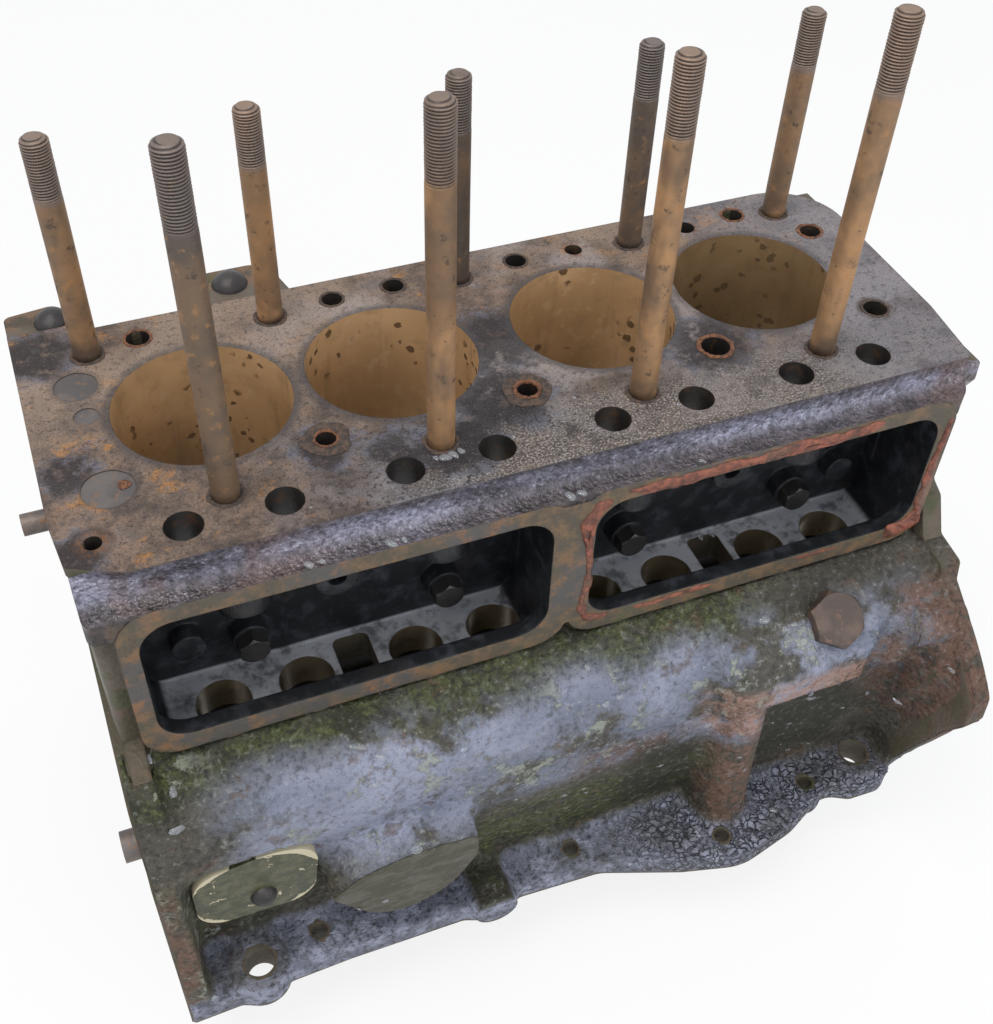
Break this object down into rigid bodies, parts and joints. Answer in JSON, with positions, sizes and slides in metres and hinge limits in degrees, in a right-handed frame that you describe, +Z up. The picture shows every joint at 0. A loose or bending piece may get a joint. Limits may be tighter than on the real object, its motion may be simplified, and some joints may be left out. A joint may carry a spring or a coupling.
{
  "type": "engine block",
  "caption": "Bare, rusted cast-iron cylinder block of a small inline engine, with head studs standing in the deck, open tappet chests and a wide sump flange.",
  "frame": {"origin": "centre of the deck face midway between the middle cylinders", "axes": "+X to the flywheel end, +Z up out of the bores, camshaft side toward -Y"},
  "size_m": [0.3456, 0.2654, 0.3916],
  "materials": {
    "bush_metal": "dull grey bearing metal",
    "dull_steel": "dark oiled steel",
    "joint_paste": "orange-red jointing remains",
    "plug_steel": "dull pressed steel",
    "cast_rusty": "rusted, oily cast surface",
    "patch_iron": "blue-grey patch level with the deck",
    "stud_steel": "tan-brown surface rust over steel",
    "cap_iron": "dark oiled iron",
    "olive_paint": "olive paint with cream chips",
    "joint_paper": "oil-soaked jointing paper"
  },
  "bodies": {
    "root": {"cam_bush_centre": "bush_metal", "cam_bush_front": "bush_metal", "cam_bush_rear": "bush_metal", "cap_screws_centre": "dull_steel", "cap_screws_front": "dull_steel", "cap_screws_rear": "dull_steel", "chest_gasket_rear": "joint_paste", "chest_plug_1": "dull_steel", "chest_plug_2": "dull_steel", "chest_plug_3": "dull_steel", "chest_plug_4": "dull_steel", "core_plug_1": "plug_steel", "core_plug_2": "plug_steel", "core_plug_3": "plug_steel", "cylinder_block": "cast_rusty", "deck_plug_back": "patch_iron", "deck_plug_front": "patch_iron", "deck_plug_middle": "patch_iron", "gallery_plug": "dull_steel", "head_stud_long_1": "stud_steel", "head_stud_long_2": "stud_steel", "head_stud_long_3": "stud_steel", "head_stud_long_4": "stud_steel", "head_stud_short_1": "stud_steel", "head_stud_short_2": "stud_steel", "head_stud_short_3": "stud_steel", "head_stud_short_4": "stud_steel", "head_stud_short_5": "stud_steel", "lug_screw_front": "dull_steel", "lug_screw_rear": "dull_steel", "main_cap_centre": "cap_iron", "main_cap_front": "cap_iron", "main_cap_rear": "cap_iron", "pump_pad_cover": "olive_paint", "pump_pad_gasket": "joint_paper", "pump_pad_screw": "dull_steel", "pump_stud_stub": "plug_steel", "timing_dowel": "plug_steel"}
  },
  "joints": []
}
